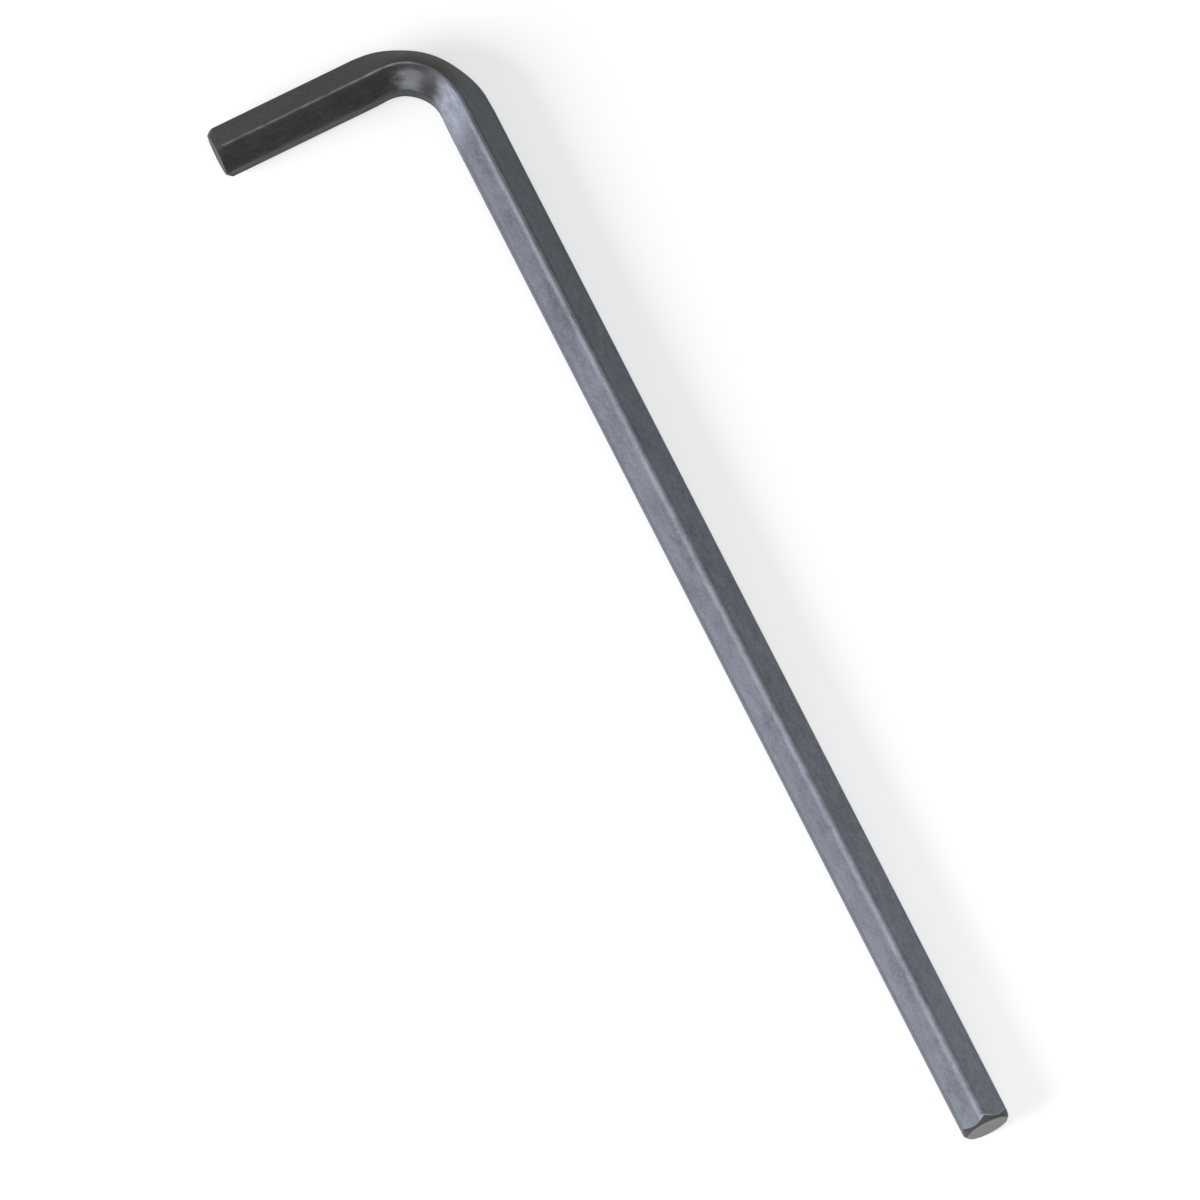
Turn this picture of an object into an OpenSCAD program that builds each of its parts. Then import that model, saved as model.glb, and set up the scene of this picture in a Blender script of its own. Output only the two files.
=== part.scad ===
// Long-arm hex key: one hexagonal steel bar with its short arm bent square to its long arm.
// The ridges are rounded, and each tip is turned to a cone that ends every flat in a curved edge.
// The key lies on its lower ridges: Z is up, the long arm points along +X and the short arm along -Y.
// The origin is on the surface that it lies on, under the middle of its outline.

/* [Bar] */
// Width of the bar across two opposite flats, which is the size of the key
across_flats = 8; // [6:0.1:10]
// Radius of the six rounded ridges
ridge_r = 0.8; // [0.1:0.05:1]

/* [Arms] */
// Length of the long arm, from the outer flat of the short arm to the end face
long_arm = 208; // [100:1:300]
// Length of the short arm, from the outer flat of the long arm to the end face
short_arm = 44; // [30:1:90]
// Radius of the bend along its inner flat
inner_bend_r = 7.2; // [4:0.1:14]

/* [Tips] */
// Depth of the tip's cone below the flats, at the end face
chamfer_depth = 0.38; // [0.1:0.01:1]
// Slope of the tip's cone, in degrees from the axis of the arm
chamfer_angle = 40; // [25:1:60]

/* [Hidden] */

// Curves get this many sides when the model is shown as a mesh
$fn = 96;

// A hexagon has its ridges half a side's angle away from its flats
sides = 6;
side_angle = 360 / sides;
half_side = side_angle / 2;

// The circle that rounds a ridge stands this far proud of its flats, to cross them and not only touch them
ridge_crossing = 0.001;
ridge_circle_r = ridge_r + ridge_crossing;

// Centre of a ridge's circle, and the reach of the rounded ridge, from the bar's axis
ridge_centre = (across_flats / 2 - ridge_r) / cos(half_side);
ridge_reach = ridge_centre + ridge_circle_r;

// The bend turns a quarter circle about its centre
bend_angle = 90;
bend_r = inner_bend_r + across_flats / 2;

// What is left of each arm past the bend is straight
long_straight = long_arm - across_flats - inner_bend_r;
short_straight = short_arm - across_flats - inner_bend_r;

// The tip's cone starts on the end face and widens until it has passed the ridges
tip_clearance = 1;
tip_face_r = across_flats / 2 - chamfer_depth;
tip_wide_r = ridge_reach + tip_clearance;
tip_cone_length = (tip_wide_r - tip_face_r) / tan(chamfer_angle);

// Centre of the bend, when the outline's middle is over the origin and the lower ridges are on the ground
bend_x = across_flats + inner_bend_r - long_arm / 2;
bend_y = short_arm / 2 - across_flats - inner_bend_r;
bend_z = ridge_reach;

// Point at a distance and an angle from the bar's axis
function around(distance, angle) = [distance * cos(angle), distance * sin(angle)];

// The two points where the rounding of the ridge at this angle runs into its flats
function rounding_ends(angle) = [
    around(ridge_centre, angle) + around(ridge_r, angle - half_side),
    around(ridge_centre, angle) + around(ridge_r, angle + half_side)
];

// Section of the bar: flats left and right, ridges up and down, rounded to the ridge radius
module bar_section() {
    ridge_angles = [for (side = [0 : sides - 1]) half_side + side * side_angle];
    polygon([for (angle = ridge_angles) each rounding_ends(angle)]);
    for (angle = ridge_angles)
        translate(around(ridge_centre, angle))
            circle(r = ridge_circle_r);
}

// Everything that a tip's cone leaves of an arm of this length
module tip_envelope(length) {
    rotate_extrude()
        polygon([
            [0, -tip_clearance],
            [tip_wide_r, -tip_clearance],
            [tip_wide_r, length - tip_cone_length],
            [tip_face_r, length],
            [0, length]
        ]);
}

// A straight arm that starts at the bend and points up, with its tip on top
module arm(length) {
    intersection() {
        linear_extrude(height = length)
            bar_section();
        tip_envelope(length);
    }
}

// The bent stretch of the bar, about its own centre, between the X axis and the Y axis
module bend() {
    rotate_extrude(angle = bend_angle)
        translate([bend_r, 0])
            bar_section();
}

// The whole key, from tip to tip
module hex_key() {
    color("#4b4f53")
        translate([bend_x, bend_y, bend_z]) {
            rotate([0, 0, bend_angle])
                bend();
            translate([0, bend_r, 0])
                rotate([90, 0, 90])
                    arm(long_straight);
            translate([-bend_r, 0, 0])
                rotate([90, 0, 0])
                    arm(short_straight);
        }
}

hex_key();
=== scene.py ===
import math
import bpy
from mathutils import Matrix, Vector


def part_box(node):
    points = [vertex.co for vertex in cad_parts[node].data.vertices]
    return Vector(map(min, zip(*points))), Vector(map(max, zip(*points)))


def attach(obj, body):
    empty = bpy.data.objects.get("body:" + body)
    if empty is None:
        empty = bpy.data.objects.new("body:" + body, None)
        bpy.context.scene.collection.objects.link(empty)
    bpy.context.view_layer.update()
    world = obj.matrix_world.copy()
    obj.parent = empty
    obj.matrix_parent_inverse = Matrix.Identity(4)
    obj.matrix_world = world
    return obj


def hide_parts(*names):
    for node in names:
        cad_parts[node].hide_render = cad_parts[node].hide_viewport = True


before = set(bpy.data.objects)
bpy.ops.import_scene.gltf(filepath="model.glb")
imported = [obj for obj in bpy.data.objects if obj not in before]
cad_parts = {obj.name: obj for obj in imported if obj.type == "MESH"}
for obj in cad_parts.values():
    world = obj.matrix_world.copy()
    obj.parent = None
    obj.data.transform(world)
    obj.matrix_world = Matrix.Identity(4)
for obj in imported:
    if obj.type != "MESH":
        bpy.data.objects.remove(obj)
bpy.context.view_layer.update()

# A hex key of blackened steel with a long arm, lying on a pale floor.
# Everything is in metres, in the frame of the CAD model.
from types import SimpleNamespace

import bpy
from mathutils import Matrix, Vector

MM = 0.001

# Sizes of the bar. The outline's sizes come from the CAD model.
low_corner, high_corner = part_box("hex_key")
LONG_ARM = high_corner.x - low_corner.x
SHORT_ARM = high_corner.y - low_corner.y
AXIS_HEIGHT = (high_corner.z - low_corner.z) / 2
ACROSS_FLATS = 8 * MM
HALF_WIDTH = ACROSS_FLATS / 2
RIDGE_RADIUS = 0.8 * MM
INNER_BEND_RADIUS = 7.2 * MM
CHAMFER_DEPTH = 0.38 * MM
CHAMFER_SLOPE = math.radians(40)

# The bending pressed the outer and inner sides of the bar flatter. This is most at the bend's middle, and it
# fades out past its ends: the fade counts from the middle, with each end of the bend at 1.
OUTER_THINNING = 0.85 * MM
INNER_THINNING = 0.35 * MM
THINNING_FADE = (0.35, 1.25)

# It also drew the upper and lower ridges outwards about one place, counted along the bar from the bend's
# start on the short arm, with this reach to either side
RIDGE_DRIFT = 0.50 * MM
DRIFT_PLACE = 7.0 * MM
DRIFT_REACH = (1.5 * MM, 7.0 * MM)

# The long tip was sheared off a little out of square, so the lower side of its end face stands foremost
END_SLANT = 0.36 * MM

# Steps of the bar's mesh: columns run round the section, and rows run from the short tip to the long one
SIDES = 6
RIDGE_STEPS = 10
FLAT_STEPS = 10
SIDE_STEPS = RIDGE_STEPS + FLAT_STEPS
COLUMNS = SIDES * SIDE_STEPS
FACE_RINGS = 8
CHAMFER_RINGS = 6
STRAIGHT_RINGS = 60
TIP_RINGS = FACE_RINGS + CHAMFER_RINGS
ARM_RINGS = TIP_RINGS + STRAIGHT_RINGS
BEND_RINGS = 56
ROWS = 2 * ARM_RINGS + BEND_RINGS

# Half a step keeps a count that is rounded down clear of the next whole number
HALF_STEP = 0.5

# Points this near each other become one, and edges sharper than this angle are shaded sharp
MERGE_GAP = 0.002 * MM
SHARP_ANGLE = math.radians(24)

QUARTER_TURN = math.pi / 2
FULL_TURN = 2 * math.pi
HALF_SIDE = math.pi / SIDES
SIDE_ANGLE = 2 * HALF_SIDE


class Reading:
    """A value that a node gives. Sums and products of readings make the nodes that work them out."""

    def __init__(self, tree, socket):
        self.tree = tree
        self.socket = socket

    def worked_out(self, operation, *values):
        return reading(node(self.tree, "ShaderNodeMath", {"operation": operation}, dict(enumerate(values))))

    def __add__(self, other):
        return self.worked_out("ADD", self, other)

    def __radd__(self, other):
        return self.worked_out("ADD", other, self)

    def __sub__(self, other):
        return self.worked_out("SUBTRACT", self, other)

    def __rsub__(self, other):
        return self.worked_out("SUBTRACT", other, self)

    def __mul__(self, other):
        return self.worked_out("MULTIPLY", self, other)

    def __rmul__(self, other):
        return self.worked_out("MULTIPLY", other, self)

    def __truediv__(self, other):
        return self.worked_out("DIVIDE", self, other)

    def __rtruediv__(self, other):
        return self.worked_out("DIVIDE", other, self)

    def __neg__(self):
        return self.worked_out("MULTIPLY", self, -1)

    def __abs__(self):
        return self.worked_out("ABSOLUTE", self)

    def floor(self):
        return self.worked_out("FLOOR", self)

    def sine(self):
        return self.worked_out("SINE", self)

    def cosine(self):
        return self.worked_out("COSINE", self)

    def root(self):
        return self.worked_out("SQRT", self)

    def above(self, other):
        return self.worked_out("GREATER_THAN", self, other)

    def below(self, other):
        return self.worked_out("LESS_THAN", self, other)

    def at_most(self, other):
        return self.worked_out("MINIMUM", self, other)

    def at_least(self, other):
        return self.worked_out("MAXIMUM", self, other)

    def limited(self):
        """The same reading, kept between 0 and 1."""
        return self.at_least(0).at_most(1)

    def share(self, start, end):
        """0 before start, 1 after end, and straight in between."""
        return ((self - start) / (end - start)).limited()

    def eased(self, start, end):
        """0 before start, 1 after end, and a soft curve in between."""
        part = self.share(start, end)
        return part * part * (3 - 2 * part)

    def fades(self, start, end):
        """1 before start, 0 after end, and a soft curve in between."""
        return 1 - self.eased(start, end)

    def near(self, place, full, none):
        """1 within a distance of a place, 0 beyond a larger one, and a soft curve in between."""
        return abs(self - place).fades(full, none)

    def centred(self, steps):
        """-1 at no steps, 1 at all of them, and straight in between."""
        return self / steps * 2 - 1

    def chosen(self, when_one, when_zero):
        """when_one where this reading is 1, when_zero where it is 0, and a mix in between."""
        return self * (when_one - when_zero) + when_zero


def feed(tree, socket, value):
    """Links a reading or a node's output to a socket, or sets the socket to a plain value."""
    if isinstance(value, Reading):
        tree.links.new(value.socket, socket)
    elif isinstance(value, bpy.types.NodeSocket):
        tree.links.new(value, socket)
    else:
        socket.default_value = value


def node(tree, kind, settings, inputs):
    """A node of any kind: its settings first, then its inputs by name or place."""
    made = tree.nodes.new(kind)
    for name, value in settings.items():
        setattr(made, name, value)
    for name, value in inputs.items():
        feed(tree, made.inputs[name], value)
    return made


def reading(made, output=0):
    return Reading(made.id_data, made.outputs[output])


def vector(tree, x, y, z):
    return node(tree, "ShaderNodeCombineXYZ", {}, {"X": x, "Y": y, "Z": z}).outputs["Vector"]


def colour(red, green, blue):
    return (red, green, blue, 1.0)


# Places of the sockets that a Mix node uses for colours, and of those that a Mix Shader node has
MIX_AMOUNT, MIX_FIRST, MIX_SECOND = 0, 6, 7
MIX_RESULT = 2
SHADER_AMOUNT, SHADER_FIRST, SHADER_SECOND = 0, 1, 2


def mixed_colour(tree, amount, first, second):
    """The first colour where amount is 0 and the second where it is 1."""
    inputs = {MIX_AMOUNT: amount, MIX_FIRST: first, MIX_SECOND: second}
    return node(tree, "ShaderNodeMix", {"data_type": "RGBA"}, inputs).outputs[MIX_RESULT]


def mixed_shader(tree, amount, first, second):
    """The first shader where amount is 0 and the second where it is 1."""
    inputs = {SHADER_AMOUNT: amount, SHADER_FIRST: first.outputs[0], SHADER_SECOND: second.outputs[0]}
    return node(tree, "ShaderNodeMixShader", {}, inputs)


def looked_at(tree):
    """1 for rays straight from the camera, or by way of a reflection or a glass, and 0 for all others."""
    rays = node(tree, "ShaderNodeLightPath", {}, {})
    mirrored = reading(rays, "Is Glossy Ray").at_least(reading(rays, "Is Transmission Ray"))
    return reading(rays, "Is Camera Ray").at_least(mirrored)


# Named inputs of the bar's tree
BAR_SIZES = {
    "Across flats": ACROSS_FLATS,
    "Ridge radius": RIDGE_RADIUS,
    "Long arm": LONG_ARM,
    "Short arm": SHORT_ARM,
    "Inner bend radius": INNER_BEND_RADIUS,
    "Axis height": AXIS_HEIGHT,
    "Chamfer depth": CHAMFER_DEPTH,
    "Chamfer slope": CHAMFER_SLOPE,
    "Outer thinning": OUTER_THINNING,
    "Inner thinning": INNER_THINNING,
    "Ridge drift": RIDGE_DRIFT,
    "End slant": END_SLANT,
}


def section_point(size, column):
    """The point of the section at a column, and how far it is round the surface from the nearest ridge."""
    radius = size["Ridge radius"]
    half_width = size["Across flats"] / 2
    ridge_centre = (half_width - radius) / math.cos(HALF_SIDE)
    half_flat = ridge_centre * math.sin(HALF_SIDE)

    # Each side has a ridge's rounding first, and then the flat that follows it
    side = ((column + HALF_STEP) / SIDE_STEPS).floor()
    step = column - side * SIDE_STEPS
    on_ridge = step.below(RIDGE_STEPS + HALF_STEP)
    ridge_angle = side * SIDE_ANGLE + HALF_SIDE
    flat_angle = ridge_angle + HALF_SIDE
    turned = step.centred(RIDGE_STEPS) * HALF_SIDE
    across = (step - RIDGE_STEPS).centred(FLAT_STEPS) * half_flat

    ridge_out = ridge_centre * ridge_angle.cosine() + radius * (ridge_angle + turned).cosine()
    ridge_up = ridge_centre * ridge_angle.sine() + radius * (ridge_angle + turned).sine()
    flat_out = half_width * flat_angle.cosine() - across * flat_angle.sine()
    flat_up = half_width * flat_angle.sine() + across * flat_angle.cosine()
    ridge_gap = on_ridge.chosen(abs(turned) * radius, radius * HALF_SIDE + half_flat - abs(across))
    return on_ridge.chosen(ridge_out, flat_out), on_ridge.chosen(ridge_up, flat_up), ridge_gap


def bar_tree():
    """Tree that rolls a flat grid into the bar: columns run round the section and rows from tip to tip."""
    tree = bpy.data.node_groups.new("bent hexagon bar", "GeometryNodeTree")
    for name, value in BAR_SIZES.items():
        made = tree.interface.new_socket(name, in_out="INPUT", socket_type="NodeSocketFloat")
        made.default_value = value
    tree.interface.new_socket("Finish", in_out="INPUT", socket_type="NodeSocketMaterial")
    tree.interface.new_socket("Bar", in_out="OUTPUT", socket_type="NodeSocketGeometry")
    given = tree.nodes.new("NodeGroupInput")
    size = {name: reading(given, name) for name in BAR_SIZES}

    row_length = COLUMNS + 1
    grid = node(tree, "GeometryNodeMeshGrid", {}, {"Vertices X": ROWS + 1, "Vertices Y": row_length})
    index = reading(node(tree, "GeometryNodeInputIndex", {}, {}))
    row = ((index + HALF_STEP) / row_length).floor()
    column = index - row * row_length
    section_out, section_up, ridge_gap = section_point(size, column)
    section_reach = (section_out * section_out + section_up * section_up).root()

    # Along an arm: the end face, the chamfer up to the curved ends of the flats, and the straight stretch
    on_long = row.above(ROWS / 2)
    ring = on_long.chosen(ROWS - row, row)
    face_part = ring.share(0, FACE_RINGS)
    chamfer_part = ring.share(FACE_RINGS, TIP_RINGS)
    straight_part = ring.share(TIP_RINGS, ARM_RINGS)
    bend_part = row.share(ARM_RINGS, ARM_RINGS + BEND_RINGS)
    half_width = size["Across flats"] / 2
    face_radius = half_width - size["Chamfer depth"]
    slope = size["Chamfer slope"]
    chamfer_length = (section_reach - face_radius) * slope.cosine() / slope.sine()
    bend_room = size["Across flats"] + size["Inner bend radius"]
    arm_length = on_long.chosen(size["Long arm"], size["Short arm"]) - bend_room
    tip_gap = chamfer_length * chamfer_part + (arm_length - chamfer_length) * straight_part
    reach = face_radius * face_part + (section_reach - face_radius) * chamfer_part
    out = section_out / section_reach * reach
    up = section_up / section_reach * reach

    # Round the bend, from the short arm's side to the long arm's side
    bend_radius = size["Inner bend radius"] + half_width
    turn = bend_part * QUARTER_TURN
    slanted = size["End slant"] * on_long * (up / face_radius + 1) / 2 * (1 - straight_part)
    run = (arm_length - tip_gap - slanted) * on_long.chosen(1, -1)
    along = run + bend_radius * turn

    # What the bending did to the section
    half_bend = bend_radius * (QUARTER_TURN / 2)
    bent = (abs(along - half_bend) / half_bend).fades(*THINNING_FADE)
    outwards = (out / half_width).at_least(0)
    inwards = (-out / half_width).at_least(0)
    between = (1 - (out / half_width) * (out / half_width)).at_least(0)
    drifted = along.near(DRIFT_PLACE, *DRIFT_REACH) * between
    thinned = (size["Inner thinning"] * inwards - size["Outer thinning"] * outwards) * bent
    from_centre = bend_radius + out + thinned + size["Ridge drift"] * drifted

    centre_x = bend_room - size["Long arm"] / 2
    centre_y = size["Short arm"] / 2 - bend_room
    x = centre_x - from_centre * turn.cosine() + run * turn.sine()
    y = centre_y + from_centre * turn.sine() + run * turn.cosine()
    place = vector(tree, x, y, size["Axis height"] + up)

    geometry = grid.outputs["Mesh"]
    stored = {
        "unbent": ("FLOAT_VECTOR", vector(tree, along, out, up)),
        "ridge_gap": ("FLOAT", ridge_gap),
        "tip_gap": ("FLOAT", tip_gap),
        "edge_gap": ("FLOAT", tip_gap - chamfer_length),
        "bent": ("FLOAT", bent),
    }
    for name, (kind, value) in stored.items():
        keep = node(tree, "GeometryNodeStoreNamedAttribute", {"data_type": kind, "domain": "POINT"},
                    {"Geometry": geometry, "Name": name, "Value": value})
        geometry = keep.outputs["Geometry"]

    edge_angle = node(tree, "GeometryNodeInputMeshEdgeAngle", {}, {})
    sharp = reading(edge_angle, "Unsigned Angle").above(SHARP_ANGLE)
    for kind, settings, inputs in (
            ("GeometryNodeSetPosition", {}, {"Position": place}),
            ("GeometryNodeMergeByDistance", {}, {"Distance": MERGE_GAP}),
            ("GeometryNodeFlipFaces", {}, {}),
            ("GeometryNodeSetShadeSmooth", {"domain": "FACE"}, {"Shade Smooth": True}),
            ("GeometryNodeSetShadeSmooth", {"domain": "EDGE"}, {"Selection": sharp, "Shade Smooth": False}),
            ("GeometryNodeRealizeInstances", {}, {}),
            ("GeometryNodeSetMaterial", {}, {"Material": given.outputs["Finish"]})):
        geometry = node(tree, kind, settings, {0: geometry, **inputs}).outputs[0]
    result = tree.nodes.new("NodeGroupOutput")
    tree.links.new(geometry, result.inputs["Bar"])
    return tree


def made_bar(name, finish):
    """The bar as a plain mesh object, made once by its tree."""
    seed_mesh = bpy.data.meshes.new(name + " start")
    start = bpy.data.objects.new(name + " start", seed_mesh)
    bpy.context.scene.collection.objects.link(start)
    maker = start.modifiers.new("bar", "NODES")
    maker.node_group = bar_tree()
    for item in maker.node_group.interface.items_tree:
        if item.in_out == "INPUT" and item.name in BAR_SIZES:
            maker[item.identifier] = BAR_SIZES[item.name]
        elif item.in_out == "INPUT" and item.name == "Finish":
            maker[item.identifier] = finish
    ready = start.evaluated_get(bpy.context.evaluated_depsgraph_get())
    mesh = bpy.data.meshes.new_from_object(ready)
    mesh.name = name
    # The grid that the tree starts from brings an empty material slot, in front of the finish
    mesh.materials.pop(index=0)
    start.modifiers.remove(maker)
    bpy.data.objects.remove(start)
    bpy.data.meshes.remove(seed_mesh)
    bar = bpy.data.objects.new(name, mesh)
    bpy.context.scene.collection.objects.link(bar)
    return bar


# Colours of the blackened steel, and colours that paint shade, reflections and highlights onto it
OXIDE_DARK = colour(0.097, 0.102, 0.114)
OXIDE = colour(0.190, 0.203, 0.231)
VIOLET_OXIDE = colour(0.178, 0.170, 0.200)
# Painted shade with a slate-green tint, for the outer flat near the bend
SLATE_TINT_AND_SHADE = colour(0.099, 0.129, 0.125)
WARM_OXIDE = colour(0.208, 0.198, 0.170)
# Painted shade: the short arm and its inner side are coloured darker than the long arm
SHORT_ARM_PAINTED_SHADE = colour(0.093, 0.090, 0.084)
SHORT_ARM_PAINTED_SHADE_DARK = colour(0.064, 0.062, 0.058)
SHORT_INNER_PAINTED_SHADE = colour(0.033, 0.032, 0.031)
SHORT_INNER_PAINTED_SHADE_DARK = colour(0.017, 0.016, 0.016)
# Painted shade: the dark laid on the top ridge, the side flat and the bend's dark reflection
PAINTED_DARK = colour(0.040, 0.041, 0.044)
# Painted reflection: the bright smudge on the bend's inner side
PAINTED_REFLECTION_STEEL = colour(0.296, 0.305, 0.308)
# Painted highlight: the thin bright line on the ridges
PAINTED_RIDGE_HIGHLIGHT = colour(0.345, 0.338, 0.325)
# Painted highlight along the top ridge's band and the flats' ends, and wear low on the inner flat
RUBBED_AND_HIGHLIGHT_STEEL = colour(0.262, 0.272, 0.300)
# Painted highlight: the bright patch where the long arm starts, and the top ridge's worn corners
PAINTED_HIGHLIGHT_STEEL = colour(0.385, 0.400, 0.455)
FACE_STEEL = colour(0.355, 0.345, 0.315)
FACE_DARK = colour(0.215, 0.208, 0.188)
# Painted shade: the short tip's end face is coloured dark
SHORT_FACE_PAINTED_SHADE = colour(0.042, 0.041, 0.038)
LONG_CHAMFER = colour(0.078, 0.077, 0.073)
# Painted shade: the short tip's chamfer is coloured darker
SHORT_CHAMFER_PAINTED_SHADE = colour(0.050, 0.049, 0.047)
SPECULAR_TINT = colour(0.55, 0.55, 0.55)

# Random fields over the bar as if it were straight. Scales are per metre: along the bar, outwards and up.
FIELDS = {
    "streaks": {"scale": (110.0, 1200.0, 1200.0), "detail": 4.0, "roughness": 0.65},
    "grain": {"scale": (1700.0, 2600.0, 2600.0), "detail": 3.0, "roughness": 0.60},
    "mottle": {"scale": (420.0, 820.0, 820.0), "detail": 5.0, "roughness": 0.62},
    "clouds": {"scale": (95.0, 260.0, 260.0), "detail": 3.0, "roughness": 0.55},
    "tints": {"scale": (70.0, 200.0, 200.0), "detail": 2.0, "roughness": 0.50},
}
FIELD_MIDDLE = 0.5

# Places along the bar are counted from the bend's start on the short arm, and heights from the bar's axis.
# A pair of places, heights, gaps or levels is a span over which something comes in or fades out.
BEND_LENGTH = QUARTER_TURN * (INNER_BEND_RADIUS + HALF_WIDTH)
DARK_REFLECTION_PLACE = 0.63 * BEND_LENGTH
LONG_SIDE = (DARK_REFLECTION_PLACE, 0.85 * BEND_LENGTH)
SHADE_END = (0.45 * BEND_LENGTH, 0.60 * BEND_LENGTH)
SHADE_SIDE = (-0.10 * HALF_WIDTH, 0.15 * HALF_WIDTH)
TOP_RIDGE = (0.50 * HALF_WIDTH, 0.95 * HALF_WIDTH)
ONE_SIDE = (0.0, 0.30 * HALF_WIDTH)
UPPER_HALF = (0.0, 0.25 * HALF_WIDTH)
FACE_DEPTH = 0.02 * MM

# Wander of the painted reflections at the bend, and the slant of the painted dark reflection
WOBBLE = 5 * MM
DARK_REFLECTION_WOBBLE = 0.6
DARK_REFLECTION_SLANT = 0.3

# Turning rings of the end faces
RING_STEP = 0.40 * MM
RING_WOBBLE = 7


def noise(tree, place, scale, detail, roughness):
    """Soft random field between about 0.25 and 0.75 over a vector, stretched by its scale."""
    stretched = node(tree, "ShaderNodeVectorMath", {"operation": "MULTIPLY"}, {0: place, 1: scale})
    inputs = {"Vector": reading(stretched), "Scale": 1.0, "Detail": detail, "Roughness": roughness}
    return reading(node(tree, "ShaderNodeTexNoise", {"noise_dimensions": "3D"}, inputs))


def blended(fields, weights, level=0.0):
    """A level, plus each random field times its weight."""
    total = level
    for name, weight in weights.items():
        total = fields[name] * weight + total
    return total


def evenly_blended(fields, weights, level=0.0):
    """The same blend with each field made to vary about zero, so that the level is its middle."""
    return blended(fields, weights, level - FIELD_MIDDLE * sum(weights.values()))


def bar_surface(tree):
    """What the coat asks about a point of the bar: its place, what is near it, and its random fields."""
    def stored(name, output="Fac"):
        return reading(node(tree, "ShaderNodeAttribute", {"attribute_name": name}, {}), output)

    unbent = stored("unbent", "Vector")
    parts = node(tree, "ShaderNodeSeparateXYZ", {}, {"Vector": unbent})
    bar = SimpleNamespace(tree=tree)
    bar.along = reading(parts, "X")
    bar.out = reading(parts, "Y")
    bar.up = reading(parts, "Z")
    bar.inwards = -bar.out
    bar.bent = stored("bent")
    bar.ridge_gap = stored("ridge_gap")
    bar.edge_gap = stored("edge_gap")
    bar.fields = {name: noise(tree, unbent, **field) for name, field in FIELDS.items()}

    bar.on_face = stored("tip_gap").below(FACE_DEPTH)
    bar.on_chamfer = bar.edge_gap.below(0) * (1 - bar.on_face)
    bar.on_long = bar.along.eased(*LONG_SIDE)
    bar.on_top = bar.up.share(*TOP_RIDGE)
    bar.inner_upper = bar.inwards.share(*ONE_SIDE) * bar.up.share(*UPPER_HALF)
    bar.outer_upper = bar.out.share(*ONE_SIDE) * bar.up.share(*UPPER_HALF)
    bar.in_shade = bar.along.fades(*SHADE_END) * bar.inwards.share(*SHADE_SIDE)

    bar.wobble = (bar.fields["mottle"] - FIELD_MIDDLE) * WOBBLE
    dark_reflection_line = bar.along + bar.wobble * DARK_REFLECTION_WOBBLE + (bar.out + HALF_WIDTH) * DARK_REFLECTION_SLANT
    bar.pinch_gap = abs(dark_reflection_line - DARK_REFLECTION_PLACE)
    from_axis = (bar.out * bar.out + bar.up * bar.up).root()
    bar.rings = ((from_axis * (FULL_TURN / RING_STEP) + bar.fields["mottle"] * RING_WOBBLE).sine() + 1) / 2
    return bar


# How far the oxide has gone, from its dark colour to its light one
FINE_BLEND = {"streaks": 0.8, "mottle": 1.3, "grain": 1.4}
FINE_GAIN_INSIDE = 0.25
CLOUD_WEIGHT = 0.6
CLOUD_GAIN_INSIDE = 1.0
TONE_LEVEL = 0.62


def oxide_tone(bar):
    """0 for dark oxide and 1 for light, with coarser and stronger changes on the inner side."""
    fine = evenly_blended(bar.fields, FINE_BLEND) * (1 + bar.inner_upper * FINE_GAIN_INSIDE)
    coarse = (bar.fields["clouds"] - FIELD_MIDDLE) * (CLOUD_WEIGHT + bar.inner_upper * CLOUD_GAIN_INSIDE)
    return (fine + coarse + TONE_LEVEL).limited()


# The oxide's own changes of colour, and painted shade on the short arm, on the outer flat near the bend and
# on the long arm's inner side flat
VIOLET_EDGE = (0.42, 0.62)
VIOLET_AMOUNT = 0.32
VIOLET_LOSS_OUTSIDE = 0.20
SLATE_FADE = (20 * MM, 95 * MM)
SLATE_AMOUNT = 0.45
SHORT_ARM_SHADE_AMOUNT = 0.85
SHADE_AMOUNT = 0.80
WARM_SIDE = (0.1 * HALF_WIDTH, 0.9 * HALF_WIDTH)
WARM_AMOUNT = 0.7
LOW_WEAR_HEIGHT = (0.64 * HALF_WIDTH, 0.90 * HALF_WIDTH)
LOW_WEAR_START = (1.06 * BEND_LENGTH, 1.35 * BEND_LENGTH)
LOW_WEAR_AMOUNT = 0.13
# Painted shade: a dark strip on the long arm's inner side flat
SIDE_FLAT = (0.94 * HALF_WIDTH, 0.99 * HALF_WIDTH)
SIDE_PAINTED_DARK = 0.45


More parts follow.
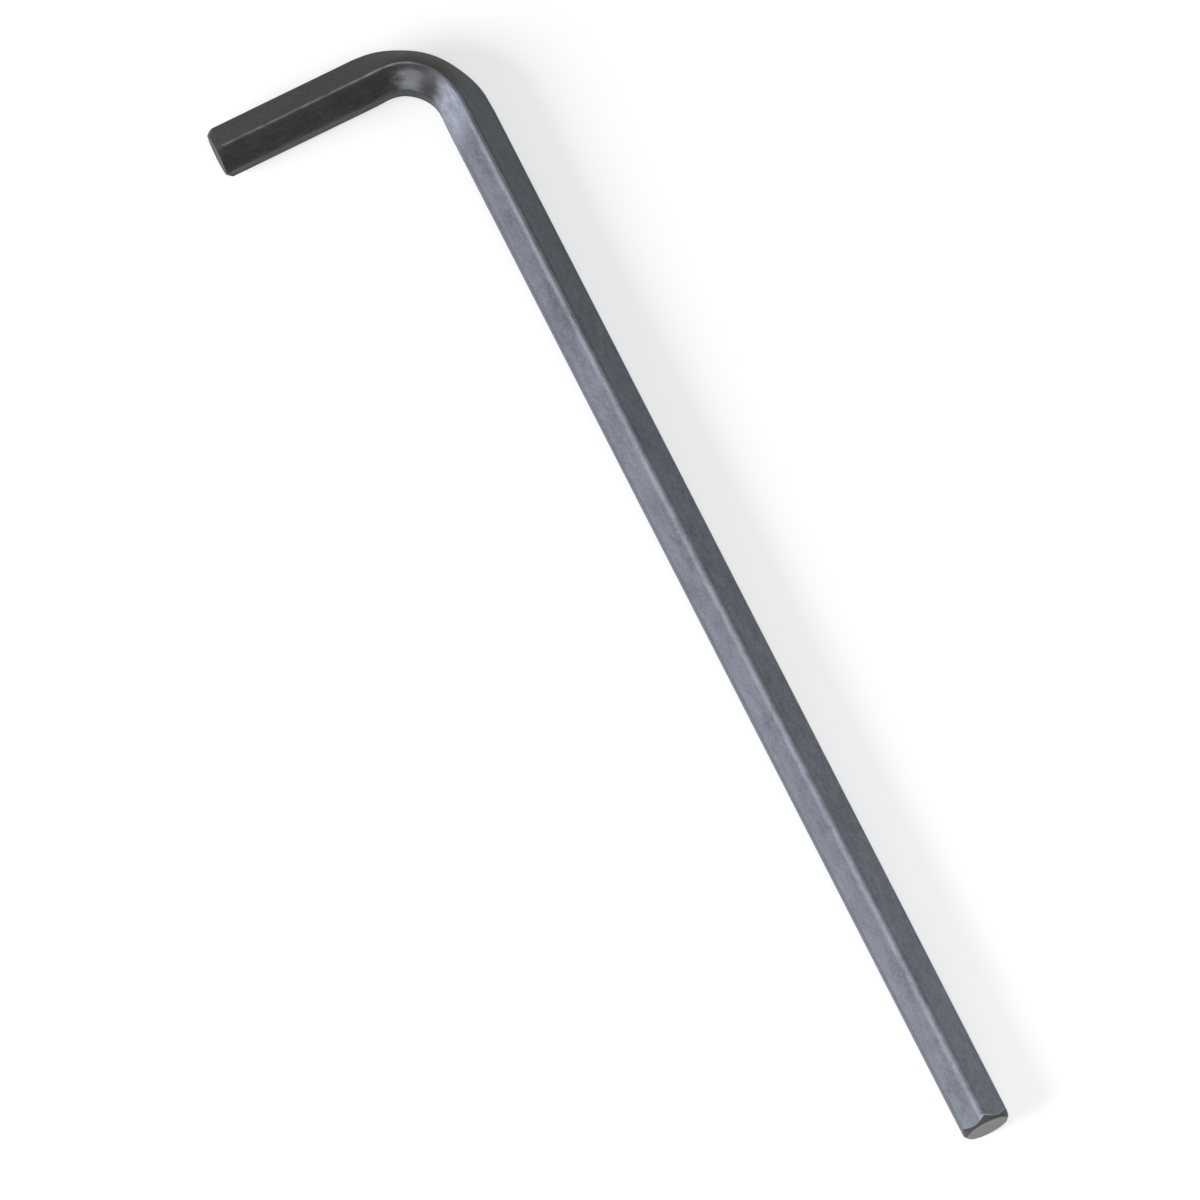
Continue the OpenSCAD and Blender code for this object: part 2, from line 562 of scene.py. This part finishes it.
def oxide_layers(bar, tone):
    """The oxide: violet in places and warm round the bend; painted shade makes it slate-dark beside the
    bend, darker on the short arm and dark on the long arm's inner side flat.
    """
    violet_amount = VIOLET_AMOUNT - bar.outer_upper * VIOLET_LOSS_OUTSIDE
    violet = bar.fields["tints"].eased(*VIOLET_EDGE) * violet_amount
    # painted shade: the outer upper flat darker and slate-green near the bend, lighter towards the long tip
    slate = bar.outer_upper * bar.along.fades(*SLATE_FADE) * SLATE_AMOUNT
    shaded_short_coat = mixed_colour(bar.tree, tone, SHORT_ARM_PAINTED_SHADE_DARK, SHORT_ARM_PAINTED_SHADE)
    shaded_short_inner = mixed_colour(bar.tree, tone, SHORT_INNER_PAINTED_SHADE_DARK, SHORT_INNER_PAINTED_SHADE)
    warmth = bar.bent * bar.out.eased(*WARM_SIDE) * WARM_AMOUNT
    low_wear = bar.up.fades(*LOW_WEAR_HEIGHT) * bar.inwards.share(*ONE_SIDE)
    low_wear = low_wear * bar.along.eased(*LOW_WEAR_START)
    # painted shade on the long arm's inner side flat
    side_flat = bar.inwards.share(*SIDE_FLAT) * bar.on_long
    return [
        (violet, VIOLET_OXIDE),
        (slate, SLATE_TINT_AND_SHADE),
        # painted shade: the short arm darker, and its inner side near the bend darker still
        ((1 - bar.on_long) * SHORT_ARM_SHADE_AMOUNT, shaded_short_coat),
        (bar.in_shade * SHADE_AMOUNT, shaded_short_inner),
        (warmth, WARM_OXIDE),
        (low_wear * LOW_WEAR_AMOUNT, RUBBED_AND_HIGHLIGHT_STEEL),
        (side_flat * SIDE_PAINTED_DARK, PAINTED_DARK),
    ]


# Painted reflections and a painted highlight on the bend's inner side
BRIGHT_REFLECTION_PLACE = 0.37 * BEND_LENGTH
BRIGHT_REFLECTION_REACH = (0.3 * MM, 4.6 * MM)
BRIGHT_REFLECTION_BLEND = {"mottle": 1.1, "streaks": 0.5}
BRIGHT_REFLECTION_LEVEL = -0.25
BRIGHT_REFLECTION_HEIGHT = 0.78 * HALF_WIDTH
BRIGHT_REFLECTION_HEIGHT_REACH = (0.12 * HALF_WIDTH, 0.30 * HALF_WIDTH)
BRIGHT_REFLECTION_HEIGHT_LOSS = 0.70
# Painted dark reflection across the bend's inner side
DARK_REFLECTION_REACH = (0.5 * MM, 2.3 * MM)
DARK_REFLECTION_TOP = (0.72 * HALF_WIDTH, 1.14 * HALF_WIDTH)
DARK_REFLECTION_AMOUNT = 0.84
# Painted highlight: a bright patch where the long arm starts
PATCH_PLACE = 1.06 * BEND_LENGTH
PATCH_REACH = (1.5 * MM, 6.5 * MM)
PATCH_HEIGHT = 0.65 * HALF_WIDTH
PATCH_SLANT = 1.3
PATCH_BLEND = {"mottle": 1.7}
PATCH_LEVEL = -0.30


def bend_layers(bar):
    """The bend's inner side: a painted bright reflection, a painted dark reflection, and a painted highlight
    where the long arm starts.
    """
    # painted reflection: a bright smudge on the bend's inner side
    painted_reflection = (bar.along + bar.wobble).near(BRIGHT_REFLECTION_PLACE, *BRIGHT_REFLECTION_REACH) * bar.inner_upper
    painted_reflection = painted_reflection * blended(bar.fields, BRIGHT_REFLECTION_BLEND, BRIGHT_REFLECTION_LEVEL)
    painted_reflection = painted_reflection * (1 - abs(bar.up - BRIGHT_REFLECTION_HEIGHT).eased(*BRIGHT_REFLECTION_HEIGHT_REACH) * BRIGHT_REFLECTION_HEIGHT_LOSS)
    # painted dark reflection: a dark band across the bend's inner side
    painted_dark_reflection = bar.pinch_gap.fades(*DARK_REFLECTION_REACH) * bar.inner_upper * bar.up.fades(*DARK_REFLECTION_TOP)
    # painted highlight: a bright patch where the long arm starts
    slanted = (bar.up - PATCH_HEIGHT) * PATCH_SLANT
    painted_patch_highlight = (bar.along + bar.wobble + slanted).near(PATCH_PLACE, *PATCH_REACH) * bar.inner_upper
    painted_patch_highlight = painted_patch_highlight * blended(bar.fields, PATCH_BLEND, PATCH_LEVEL)
    return [
        (painted_reflection.limited(), PAINTED_REFLECTION_STEEL),
        (painted_dark_reflection * DARK_REFLECTION_AMOUNT, PAINTED_DARK),
        (painted_patch_highlight.limited(), PAINTED_HIGHLIGHT_STEEL),
    ]


# A painted highlight band beside the top ridge on the inner side, and painted shade close to the ridge
BAND_EDGE = (0.80 * MM, 1.40 * MM)
BAND_SIDE = (-0.15 * MM, 0.25 * MM)
BAND_TOP = (0.5, 0.9)
BAND_BLEND = {"clouds": 1.0, "mottle": 2.0, "grain": 1.2}
BAND_LEVEL = -1.36
PAINTED_DARK_EDGE = (0.25 * MM, 0.65 * MM)
PAINTED_DARK_FADE = (40 * MM, 100 * MM)
PAINTED_DARK_LOSS = 0.6
PAINTED_DARK_AMOUNT = 0.55

# A thin painted highlight line on the ridges, brightest on top and where the short arm meets the bend
LINE_EDGE = (0.04 * MM, 0.30 * MM)
LINE_BLEND = {"mottle": 2.2, "streaks": 1.0}
LINE_LEVEL = -1.00
LINE_ON_TOP = 0.55
LINE_LOSS_ON_LONG = 0.38
LINE_ELSEWHERE = 0.05
LINE_DARK_REFLECTION = (1.0 * MM, 3.5 * MM)
LINE_LEFT_AT_DARK_REFLECTION = 0.3
LINE_BEND_PLACE = 3 * MM
LINE_BEND_REACH = (3 * MM, 7 * MM)
LINE_BEND_GAIN = 0.8

# Painted shade on the short arm's inner side flat, below its ridge
UNDER_SIDE = (0.90 * HALF_WIDTH, 0.98 * HALF_WIDTH)
UNDER_HEIGHT = (0.45 * HALF_WIDTH, 0.60 * HALF_WIDTH)
UNDER_AMOUNT = 0.9


def ridge_layers(bar):
    """Painted highlights and painted shade along the top ridge, and painted shade on the flat under the
    short arm's inner ridge.
    """
    # painted highlight: a light band beside the top ridge on the inner side
    ridge_band_highlight = bar.ridge_gap.fades(*BAND_EDGE) * bar.inwards.share(*BAND_SIDE) * bar.on_long
    ridge_band_highlight = ridge_band_highlight * bar.on_top.eased(*BAND_TOP) * blended(bar.fields, BAND_BLEND, BAND_LEVEL)
    # painted shade on the long arm's top ridge, fading towards the long tip
    painted_ridge_shade = bar.ridge_gap.fades(*PAINTED_DARK_EDGE) * bar.on_top * bar.on_long
    painted_ridge_shade = painted_ridge_shade * (1 - bar.along.eased(*PAINTED_DARK_FADE) * PAINTED_DARK_LOSS)
    # painted highlight: a thin bright line on the ridges
    line = (bar.ridge_gap.fades(*LINE_EDGE) * blended(bar.fields, LINE_BLEND, LINE_LEVEL)).limited()
    line = line * (bar.on_top * (LINE_ON_TOP - bar.on_long * LINE_LOSS_ON_LONG) + LINE_ELSEWHERE)
    line = line * bar.pinch_gap.eased(*LINE_DARK_REFLECTION).chosen(1, LINE_LEFT_AT_DARK_REFLECTION)
    line = line * (1 + bar.along.near(LINE_BEND_PLACE, *LINE_BEND_REACH) * LINE_BEND_GAIN)
    # painted shade on the short arm's inner side flat
    under = bar.inwards.share(*UNDER_SIDE) * (1 - bar.up.share(*UNDER_HEIGHT)) * (1 - bar.on_long)
    return [
        (ridge_band_highlight.limited(), RUBBED_AND_HIGHLIGHT_STEEL),
        (painted_ridge_shade * PAINTED_DARK_AMOUNT, PAINTED_DARK),
        (line, PAINTED_RIDGE_HIGHLIGHT),
        (under * UNDER_AMOUNT, SHORT_INNER_PAINTED_SHADE_DARK),
    ]


# A thin painted highlight line where the flats end at the chamfer, and painted highlights on worn corners
# where the top ridge ends
END_LINE_PLACE = 0.08 * MM
END_LINE_REACH = (0.06 * MM, 0.16 * MM)
END_LINE_BLEND = {"mottle": 2.0}
END_LINE_LEVEL = -0.4
END_LINE_SIDE = (-0.25 * HALF_WIDTH, 0.15 * HALF_WIDTH)
END_LINE_INSIDE = 0.3
END_LINE_LOW = 0.35
END_LINE_SHORT = 0.03
CORNER_RIDGE = (0.5 * MM, 1.3 * MM)
CORNER_EDGE = (0.10 * MM, 0.40 * MM)
CORNER_AMOUNT = 0.6

# The end face's tone
RING_WEIGHT = 0.3
FACE_BLEND = {"mottle": 1.3, "grain": 0.5}
FACE_LEVEL = -0.55


def tip_layers(bar):
    """The tips: a painted highlight line behind a dark chamfer, painted shade on the short tip's chamfer and
    end face, and an end face with faint turning rings.
    """
    # painted highlight: a thin bright line where the flats end at the chamfer
    end_line = bar.edge_gap.near(END_LINE_PLACE, *END_LINE_REACH)
    end_line = end_line * blended(bar.fields, END_LINE_BLEND, END_LINE_LEVEL)
    end_line = (end_line * bar.out.share(*END_LINE_SIDE).chosen(1, END_LINE_INSIDE)).limited()
    end_line = end_line * (bar.on_long * bar.on_top.chosen(1, END_LINE_LOW) + END_LINE_SHORT)
    # painted highlight with wear: a bright spot on the worn corner where the top ridge ends
    corner = bar.ridge_gap.fades(*CORNER_RIDGE) * bar.edge_gap.fades(*CORNER_EDGE)
    corner = corner * bar.on_top * bar.on_long
    # painted shade on the short tip's chamfer, darkest on its inner side
    chamfer = mixed_colour(bar.tree, bar.in_shade, SHORT_CHAMFER_PAINTED_SHADE, SHORT_INNER_PAINTED_SHADE_DARK)
    chamfer = mixed_colour(bar.tree, bar.on_long, chamfer, LONG_CHAMFER)
    face_tone = (bar.rings * RING_WEIGHT + blended(bar.fields, FACE_BLEND, FACE_LEVEL)).limited()
    face = mixed_colour(bar.tree, face_tone, FACE_DARK, FACE_STEEL)
    # painted shade: the short tip's end face is dark
    face = mixed_colour(bar.tree, bar.on_long, SHORT_FACE_PAINTED_SHADE, face)
    return [
        (end_line, RUBBED_AND_HIGHLIGHT_STEEL),
        (corner * CORNER_AMOUNT, PAINTED_HIGHLIGHT_STEEL),
        (bar.on_chamfer, chamfer),
        (bar.on_face, face),
    ]


# Gloss and relief of the coat
ROUGHNESS_LEVEL = 0.47
ROUGHNESS_BLEND = {"streaks": 0.26, "grain": 0.18, "mottle": 0.12}
SMOOTHEST = 0.2
ROUGHEST = 0.8
METALLIC = 0.12
SPECULAR_LEVEL = 0.14
RELIEF_BLEND = {"streaks": 0.7, "grain": 1.2, "mottle": 0.9}
RING_RELIEF = 0.3
RELIEF_STRENGTH = 0.8
RELIEF_HEIGHT = 0.06 * MM


def blackened_steel():
    """Black oxide on drawn steel: lengthwise drawing streaks, mottling, painted highlights on the ridges,
    painted shade and reflections, and bare tips.
    """
    material = bpy.data.materials.new("blackened steel")
    material.use_nodes = True
    tree = material.node_tree
    tree.nodes.clear()

    bar = bar_surface(tree)
    tone = oxide_tone(bar)
    coat = mixed_colour(tree, tone, OXIDE_DARK, OXIDE)
    for amount, over in oxide_layers(bar, tone) + bend_layers(bar) + ridge_layers(bar) + tip_layers(bar):
        coat = mixed_colour(tree, amount, coat, over)

    roughness = evenly_blended(bar.fields, ROUGHNESS_BLEND, ROUGHNESS_LEVEL)
    relief = blended(bar.fields, RELIEF_BLEND) + bar.on_face * bar.rings * RING_RELIEF
    bump = node(tree, "ShaderNodeBump", {},
                {"Strength": RELIEF_STRENGTH, "Distance": RELIEF_HEIGHT, "Height": relief})
    shader = node(tree, "ShaderNodeBsdfPrincipled", {}, {
        "Base Color": coat,
        "Metallic": METALLIC,
        "Roughness": roughness.at_least(SMOOTHEST).at_most(ROUGHEST),
        "Specular IOR Level": SPECULAR_LEVEL,
        "Specular Tint": SPECULAR_TINT,
        "Normal": bump.outputs["Normal"],
    })
    node(tree, "ShaderNodeOutputMaterial", {}, {"Surface": shader.outputs["BSDF"]})
    return material


key = made_bar("bent_bar", blackened_steel())
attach(key, "root")
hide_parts("hex_key")

WHITE = colour(1, 1, 1)

# Floor: white to the camera, with the key's soft shadow. It throws little light back up at the steel.
FLOOR_HALF = 5.0
FLOOR_DROP = 0.02 * MM
FLOOR_CORNERS = ((-1, -1), (1, -1), (1, 1), (-1, 1))
FLOOR_COLOUR = colour(0.62, 0.62, 0.62)
FLOOR_BOUNCE = colour(0.30, 0.31, 0.33)
FLOOR_LIFT = 0.60


def pale_floor():
    """A large flat square, just under the key."""
    mesh = bpy.data.meshes.new("floor")
    corners = [(x * FLOOR_HALF, y * FLOOR_HALF, -FLOOR_DROP) for x, y in FLOOR_CORNERS]
    mesh.from_pydata(corners, [], [tuple(range(len(corners)))])
    floor = bpy.data.objects.new("floor", mesh)
    bpy.context.scene.collection.objects.link(floor)
    material = bpy.data.materials.new("pale floor")
    material.use_nodes = True
    tree = material.node_tree
    tree.nodes.clear()
    seen = looked_at(tree)
    tone = mixed_colour(tree, seen, FLOOR_BOUNCE, FLOOR_COLOUR)
    matt = node(tree, "ShaderNodeBsdfDiffuse", {}, {"Color": tone})
    glow = node(tree, "ShaderNodeEmission", {}, {"Color": WHITE, "Strength": FLOOR_LIFT})
    dark = node(tree, "ShaderNodeEmission", {}, {"Strength": 0.0})
    lift = mixed_shader(tree, seen, dark, glow)
    both = node(tree, "ShaderNodeAddShader", {}, {0: matt.outputs[0], 1: lift.outputs[0]})
    node(tree, "ShaderNodeOutputMaterial", {}, {"Surface": both.outputs[0]})
    mesh.materials.append(material)
    return floor


pale_floor()

# Plain studio light: a large cool softbox beside the long arm, weak fills from the back and above, and two
# small lamps at the long tip. "from" is the direction that a lamp stands in, seen from its aim.
KEY_MIDDLE = (0.0, 0.0, 0.0)
LONG_TIP = (LONG_ARM / 2, SHORT_ARM / 2 - HALF_WIDTH, AXIS_HEIGHT)
BEHIND_TIP = 19 * MM
LONG_TIP_SIDE = (LONG_ARM / 2 - BEHIND_TIP, SHORT_ARM / 2 - HALF_WIDTH, AXIS_HEIGHT)
LAMPS = {
    "side softbox": {"aim": KEY_MIDDLE, "from": (-0.05, -0.90, 0.44), "distance": 1.10,
                     "width": 0.80, "spread": 180, "power": 14.2, "tint": (0.89, 0.92, 1.0)},
    "tip fill": {"aim": LONG_TIP_SIDE, "from": (0.06, 0.90, 0.38), "distance": 0.26,
                 "width": 0.16, "spread": 120, "power": 0.075, "tint": (0.90, 0.94, 1.0)},
    "end light": {"aim": LONG_TIP, "from": (0.93, -0.05, 0.36), "distance": 0.26,
                  "width": 0.14, "spread": 180, "power": 0.22, "tint": (1.0, 0.98, 0.93)},
    "back fill": {"aim": KEY_MIDDLE, "from": (0.0, 0.90, 0.45), "distance": 1.20,
                  "width": 0.80, "spread": 180, "power": 1.8, "tint": (0.98, 1.0, 1.0)},
    "top light": {"aim": KEY_MIDDLE, "from": (0.10, 0.0, 1.0), "distance": 1.30,
                  "width": 0.60, "spread": 180, "power": 1.8, "tint": (1.0, 1.0, 1.0)},
}
for name, lamp in LAMPS.items():
    data = bpy.data.lights.new(name, "AREA")
    data.shape = "DISK"
    data.size = lamp["width"]
    data.energy = lamp["power"]
    data.color = lamp["tint"]
    data.spread = math.radians(lamp["spread"])
    softbox = bpy.data.objects.new(name, data)
    away = Vector(lamp["from"]).normalized()
    softbox.location = Vector(lamp["aim"]) + away * lamp["distance"]
    softbox.rotation_euler = (-away).to_track_quat("-Z", "Y").to_euler()
    softbox.visible_camera = False
    bpy.context.scene.collection.objects.link(softbox)

# World: a dim cool room to the key, plain white to the camera and in reflections
WORLD_COLOUR = colour(0.92, 0.96, 1.0)
WORLD_LEVEL = 0.12
world = bpy.data.worlds.new("studio")
world.use_nodes = True
world_tree = world.node_tree
world_tree.nodes.clear()
room = node(world_tree, "ShaderNodeBackground", {}, {"Color": WORLD_COLOUR, "Strength": WORLD_LEVEL})
white = node(world_tree, "ShaderNodeBackground", {}, {"Color": WHITE, "Strength": 1.0})
shown = mixed_shader(world_tree, looked_at(world_tree), room, white)
node(world_tree, "ShaderNodeOutputWorld", {}, {"Surface": shown.outputs[0]})
bpy.context.scene.world = world

# Camera: a very long lens that looks down on the key. Its place is counted in widths across flats, along the
# camera's own axes, from where the axes of the two arms cross.
CAMERA_LENS = 1200.0
CAMERA_SENSOR = 36.0
CLIP_NEAR = 0.1
CLIP_FAR = 100.0
WIDTHS_BACK = 823.430
WIDTHS_RIGHT = 3.40254
WIDTHS_UP = -11.33576

# Angles of the view: how far round the key the camera stands, how high above the floor, and its roll
CAMERA_ROUND = math.radians(68.0853)
CAMERA_ABOVE = math.radians(76.4267)
CAMERA_ROLL = math.radians(-4.6233)
turned_round = Matrix.Rotation(CAMERA_ROUND, 3, "Z")
tipped_down = Matrix.Rotation(QUARTER_TURN - CAMERA_ABOVE, 3, "X")
rolled = Matrix.Rotation(CAMERA_ROLL, 3, "Z")
camera_axes = turned_round @ tipped_down @ rolled
arms_crossing = Vector((low_corner.x + HALF_WIDTH, high_corner.y - HALF_WIDTH, AXIS_HEIGHT))
camera_data = bpy.data.cameras.new("camera")
camera_data.lens = CAMERA_LENS
camera_data.sensor_width = CAMERA_SENSOR
camera_data.clip_start = CLIP_NEAR
camera_data.clip_end = CLIP_FAR
camera = bpy.data.objects.new("camera", camera_data)
bpy.context.scene.collection.objects.link(camera)
camera_offset = camera_axes @ Vector((WIDTHS_RIGHT, WIDTHS_UP, WIDTHS_BACK)) * ACROSS_FLATS
camera.matrix_world = Matrix.Translation(arms_crossing + camera_offset) @ camera_axes.to_4x4()
bpy.context.scene.camera = camera

bpy.context.scene.view_settings.view_transform = "Standard"

bpy.context.view_layer.update()
